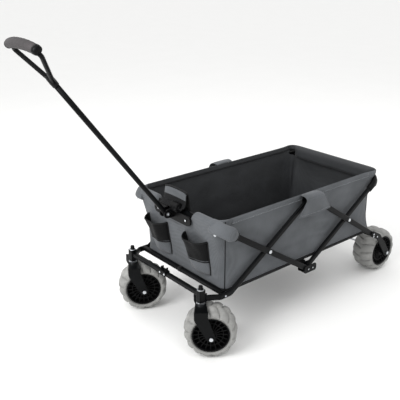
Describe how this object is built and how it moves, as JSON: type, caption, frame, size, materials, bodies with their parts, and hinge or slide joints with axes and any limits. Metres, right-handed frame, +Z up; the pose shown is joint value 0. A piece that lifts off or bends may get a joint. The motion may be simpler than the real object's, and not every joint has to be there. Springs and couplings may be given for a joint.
{
  "type": "folding beach cart",
  "caption": "Folding beach cart: fabric tub on a double scissor frame, pull handle with a D grip, swivel castors in front and fixed wide wheels behind.",
  "frame": {"origin": "bottom middle of the bounding box of the opened cart with its handle at rest", "axes": "+Z up; the handle and castors are at the -Y end; +X is the cart's left side"},
  "size_m": [0.5964, 1.5982, 1.1125],
  "materials": {
    "frame_paint": "satin black powder coat",
    "zinc_steel": "bright zinc",
    "black_plastic": "fine moulded grain",
    "grey_tyre": "matt light grey",
    "grip_foam": "matt foam",
    "grey_cloth": "woven polyester",
    "pocket_mesh": "open mesh",
    "floor_board": "cloth-covered board"
  },
  "bodies": {
    "middle_frame": {"middle_bar": "frame_paint", "middle_bracket_left": "frame_paint", "middle_bracket_right": "frame_paint"},
    "front_hoop_frame": {"front_hoop": "frame_paint", "handle_bracket": "black_plastic", "handle_pin": "zinc_steel", "front_cover": "grey_cloth", "cross_pin_front_left": "zinc_steel", "cross_pin_front_right": "zinc_steel"},
    "rear_hoop_frame": {"rear_hoop": "frame_paint", "rear_corner_left": "black_plastic", "rear_corner_right": "black_plastic", "cross_pin_rear_left": "zinc_steel", "cross_pin_rear_right": "zinc_steel"},
    "front_leg_frame": {"front_leg_left": "frame_paint", "front_leg_right": "frame_paint", "castor_bar": "frame_paint", "castor_bar_clip": "frame_paint", "front_lower_bar": "frame_paint", "castor_housing_left": "frame_paint", "castor_housing_right": "frame_paint"},
    "rear_leg_frame": {"rear_leg_left": "frame_paint", "rear_leg_right": "frame_paint", "rear_lower_bar": "frame_paint", "rear_arm_left": "frame_paint", "rear_arm_right": "frame_paint", "rear_axle": "zinc_steel"},
    "tub_body": {"tub": "grey_cloth", "cup_pocket_left": "pocket_mesh", "cup_pocket_right": "pocket_mesh", "top_bracket_left": "frame_paint", "top_bracket_right": "frame_paint", "side_cover_left": "grey_cloth", "side_cover_right": "grey_cloth"},
    "floor_front": {"floor_leaf_front": "floor_board"},
    "floor_rear": {"floor_leaf_rear": "floor_board"},
    "handle": {"handle_tube": "frame_paint", "handle_loop": "black_plastic", "grip": "grip_foam"},
    "castor_left": {"castor_fork_left": "frame_paint", "castor_stem_left": "zinc_steel", "castor_bearing_left": "zinc_steel", "castor_knob_left": "black_plastic", "castor_axle_left": "zinc_steel"},
    "wheel_front_left": {"tyre_front_left": "grey_tyre", "hub_front_left": "black_plastic"},
    "wheel_rear_left": {"tyre_rear_left": "grey_tyre", "hub_rear_left": "black_plastic"},
    "castor_right": {"castor_fork_right": "frame_paint", "castor_stem_right": "zinc_steel", "castor_bearing_right": "zinc_steel", "castor_knob_right": "black_plastic", "castor_axle_right": "zinc_steel"},
    "wheel_front_right": {"tyre_front_right": "grey_tyre", "hub_front_right": "black_plastic"},
    "wheel_rear_right": {"tyre_rear_right": "grey_tyre", "hub_rear_right": "black_plastic"}
  },
  "joints": [
    {"name": "fold", "type": "hinge", "parent": "middle_frame", "child": "front_hoop_frame", "pos_m": [-0.02035, 0.17812, 0.19], "axis": [-1, 0, 0], "range_deg": [0, 40], "deforming": ["tub", "cup_pocket_left", "cup_pocket_right"]},
    {"name": "fold_rear", "type": "hinge", "parent": "middle_frame", "child": "rear_hoop_frame", "pos_m": [-0.02035, 0.20212, 0.19], "axis": [1, 0, 0], "range_deg": [0, 40]},
    {"name": "cross_front", "type": "hinge", "parent": "front_hoop_frame", "child": "front_leg_frame", "pos_m": [-0.02035, -0.03588, 0.3295], "axis": [1, 0, 0], "range_deg": [0, 80]},
    {"name": "cross_rear", "type": "hinge", "parent": "rear_hoop_frame", "child": "rear_leg_frame", "pos_m": [-0.02035, 0.41612, 0.3295], "axis": [-1, 0, 0], "range_deg": [0, 80]},
    {"name": "top_joint", "type": "hinge", "parent": "front_leg_frame", "child": "tub_body", "pos_m": [-0.02035, 0.17812, 0.469], "axis": [-1, 0, 0], "range_deg": [0, 40]},
    {"name": "floor_front_fold", "type": "hinge", "parent": "tub_body", "child": "floor_front", "pos_m": [-0.02035, 0.19012, 0.225], "axis": [-1, 0, 0], "range_deg": [0, 80]},
    {"name": "floor_rear_fold", "type": "hinge", "parent": "tub_body", "child": "floor_rear", "pos_m": [-0.02035, 0.19012, 0.225], "axis": [1, 0, 0], "range_deg": [0, 80]},
    {"name": "handle_swing", "type": "hinge", "parent": "front_hoop_frame", "child": "handle", "pos_m": [-0.02035, -0.30288, 0.468], "axis": [-1, 0, 0], "range_deg": [-86, 45]},
    {"name": "castor_swivel_left", "type": "hinge", "parent": "front_leg_frame", "child": "castor_left", "pos_m": [0.18665, -0.31288, 0.2], "axis": [0, 0, 1], "continuous": true},
    {"name": "wheel_spin_front_left", "type": "hinge", "parent": "castor_left", "child": "wheel_front_left", "pos_m": [0.20868, -0.28568, 0.095], "axis": [0.7771, -0.6293, 0], "continuous": true},
    {"name": "wheel_spin_rear_left", "type": "hinge", "parent": "rear_leg_frame", "child": "wheel_rear_left", "pos_m": [0.17765, 0.70412, 0.095], "axis": [1, 0, 0], "continuous": true},
    {"name": "castor_swivel_right", "type": "hinge", "parent": "front_leg_frame", "child": "castor_right", "pos_m": [-0.22735, -0.31288, 0.2], "axis": [0, 0, 1], "continuous": true},
    {"name": "wheel_spin_front_right", "type": "hinge", "parent": "castor_right", "child": "wheel_front_right", "pos_m": [-0.20985, -0.28257, 0.095], "axis": [0.866, -0.5, 0], "continuous": true},
    {"name": "wheel_spin_rear_right", "type": "hinge", "parent": "rear_leg_frame", "child": "wheel_rear_right", "pos_m": [-0.21835, 0.70412, 0.095], "axis": [1, 0, 0], "continuous": true}
  ],
  "couplings": [
    {"joint": "fold_rear", "follows": "fold", "ratio": 1},
    {"joint": "cross_front", "follows": "fold", "ratio": 2},
    {"joint": "cross_rear", "follows": "fold", "ratio": 2},
    {"joint": "top_joint", "follows": "fold", "ratio": 1},
    {"joint": "floor_front_fold", "follows": "fold", "ratio": 2},
    {"joint": "floor_rear_fold", "follows": "fold", "ratio": 2}
  ]
}
